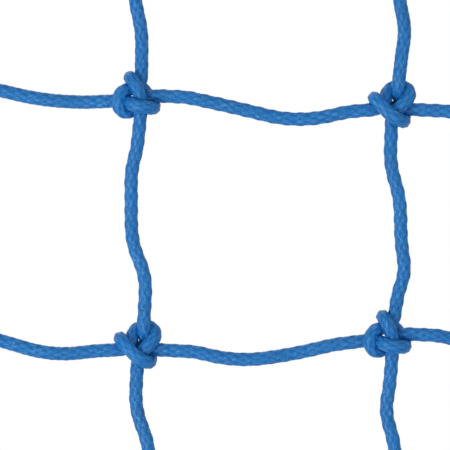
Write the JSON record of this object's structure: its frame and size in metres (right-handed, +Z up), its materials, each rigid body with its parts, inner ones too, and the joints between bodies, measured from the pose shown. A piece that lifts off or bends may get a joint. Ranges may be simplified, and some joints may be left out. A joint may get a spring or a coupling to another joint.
{
  "type": "cargo climbing net",
  "caption": "Square panel of knotted braided-cord climbing netting with a rope border, whipped cord eyes and a thimble eye at each corner.",
  "frame": {"origin": "middle of the panel, on its thickness centre", "axes": "+Z up along the hanging net, +X across it, front face towards -Y"},
  "size_m": [0.6056, 0.0266, 0.6056],
  "materials": {
    "netting_cord": "satin",
    "border_rope": "satin",
    "whipping_twine": "satin",
    "seizing_line": "satin",
    "thimble": "satin"
  },
  "bodies": {
    "root": {"top_cord_1": "netting_cord", "top_cord_2": "netting_cord", "top_cord_3": "netting_cord", "top_cord_4": "netting_cord", "top_left_corner_rope": "border_rope", "top_left_seizing": "seizing_line", "top_left_thimble": "thimble", "top_right_corner_rope": "border_rope", "top_right_seizing": "seizing_line", "top_right_thimble": "thimble", "top_rope": "border_rope", "top_whippings": "whipping_twine"},
    "row_1": {"row_1_left_rope": "border_rope", "row_1_right_rope": "border_rope", "row_1_twine_1": "netting_cord", "row_1_twine_2": "netting_cord", "row_1_twine_3": "netting_cord", "row_1_twine_4": "netting_cord", "row_1_twine_5": "netting_cord", "row_1_whippings": "whipping_twine"},
    "row_2": {"row_2_left_rope": "border_rope", "row_2_right_rope": "border_rope", "row_2_twine_1": "netting_cord", "row_2_twine_2": "netting_cord", "row_2_twine_3": "netting_cord", "row_2_twine_4": "netting_cord", "row_2_twine_5": "netting_cord", "row_2_whippings": "whipping_twine"},
    "row_3": {"row_3_left_rope": "border_rope", "row_3_right_rope": "border_rope", "row_3_twine_1": "netting_cord", "row_3_twine_2": "netting_cord", "row_3_twine_3": "netting_cord", "row_3_twine_4": "netting_cord", "row_3_twine_5": "netting_cord", "row_3_whippings": "whipping_twine"},
    "row_4": {"row_4_left_rope": "border_rope", "row_4_right_rope": "border_rope", "row_4_twine_1": "netting_cord", "row_4_twine_2": "netting_cord", "row_4_twine_3": "netting_cord", "row_4_twine_4": "netting_cord", "row_4_twine_5": "netting_cord", "row_4_whippings": "whipping_twine"},
    "bottom": {"bottom_cord_1": "netting_cord", "bottom_cord_2": "netting_cord", "bottom_cord_3": "netting_cord", "bottom_cord_4": "netting_cord", "bottom_left_corner_rope": "border_rope", "bottom_left_seizing": "seizing_line", "bottom_left_thimble": "thimble", "bottom_right_corner_rope": "border_rope", "bottom_right_seizing": "seizing_line", "bottom_right_thimble": "thimble", "bottom_rope": "border_rope", "bottom_whippings": "whipping_twine"}
  },
  "joints": [
    {"name": "row_1_swing", "type": "hinge", "parent": "root", "child": "row_1", "pos_m": [0, 0, 0.2], "axis": [1, 0, 0], "range_deg": [-55, 55]},
    {"name": "row_2_swing", "type": "hinge", "parent": "row_1", "child": "row_2", "pos_m": [0, 0, 0.1], "axis": [1, 0, 0], "range_deg": [-55, 55]},
    {"name": "row_3_swing", "type": "hinge", "parent": "row_2", "child": "row_3", "pos_m": [0, 0, 0], "axis": [1, 0, 0], "range_deg": [-55, 55]},
    {"name": "row_4_swing", "type": "hinge", "parent": "row_3", "child": "row_4", "pos_m": [0, 0, -0.1], "axis": [1, 0, 0], "range_deg": [-55, 55]},
    {"name": "bottom_swing", "type": "hinge", "parent": "row_4", "child": "bottom", "pos_m": [0, 0, -0.2], "axis": [1, 0, 0], "range_deg": [-55, 55]}
  ]
}
